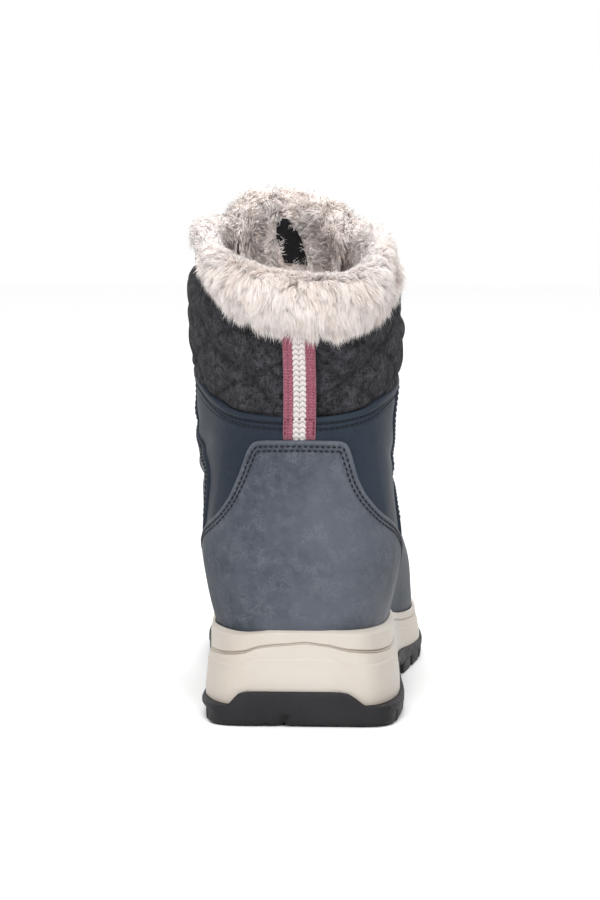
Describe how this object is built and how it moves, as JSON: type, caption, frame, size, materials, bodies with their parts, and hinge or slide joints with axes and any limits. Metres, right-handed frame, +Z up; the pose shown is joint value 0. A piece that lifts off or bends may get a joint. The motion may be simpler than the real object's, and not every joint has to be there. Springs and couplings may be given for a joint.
{
  "type": "snow boot",
  "caption": "Women's ankle-height winter boot: leather upper with quilted felt collar, fur cuff and lining, padded tongue, laces, cream moulded midsole and lugged rubber outsole.",
  "frame": {"origin": "on the floor below the middle of the boot's bounding box", "axes": "+Y from heel to toe, +X to the wearer's right, which is the outer side of this right boot, +Z up"},
  "size_m": [0.0913, 0.2681, 0.1974],
  "materials": {
    "rubber": "matt charcoal rubber",
    "foam": "satin cream moulded foam",
    "fleece": "cream fleece",
    "smooth_leather": "smooth navy leather",
    "waxed_leather": "waxed blue-grey leather with pale scuffs",
    "felt": "charcoal wool felt, quilted",
    "fur": "warm cream faux fur",
    "webbing": "woven tape, dusty pink with a pale middle stripe",
    "metal": "gunmetal",
    "lace": "braided dark cord",
    "thread": "dark sewing thread"
  },
  "bodies": {
    "root": {"outsole": "rubber", "midsole": "foam", "insole": "fleece", "upper": "smooth_leather", "heel_counter": "waxed_leather", "toe_cap": "waxed_leather", "facing_outer": "waxed_leather", "facing_inner": "waxed_leather", "tongue": "smooth_leather", "fur_cuff": "fur", "pull_loop": "webbing", "lace_ring_outer_1": "metal", "lace_ring_outer_2": "metal", "lace_ring_outer_3": "metal", "lace_hook_outer_1": "metal", "lace_hook_outer_2": "metal", "lace_ring_inner_1": "metal", "lace_ring_inner_2": "metal", "lace_ring_inner_3": "metal", "lace_hook_inner_1": "metal", "lace_hook_inner_2": "metal", "lace_crossings": "lace"}
  },
  "joints": []
}
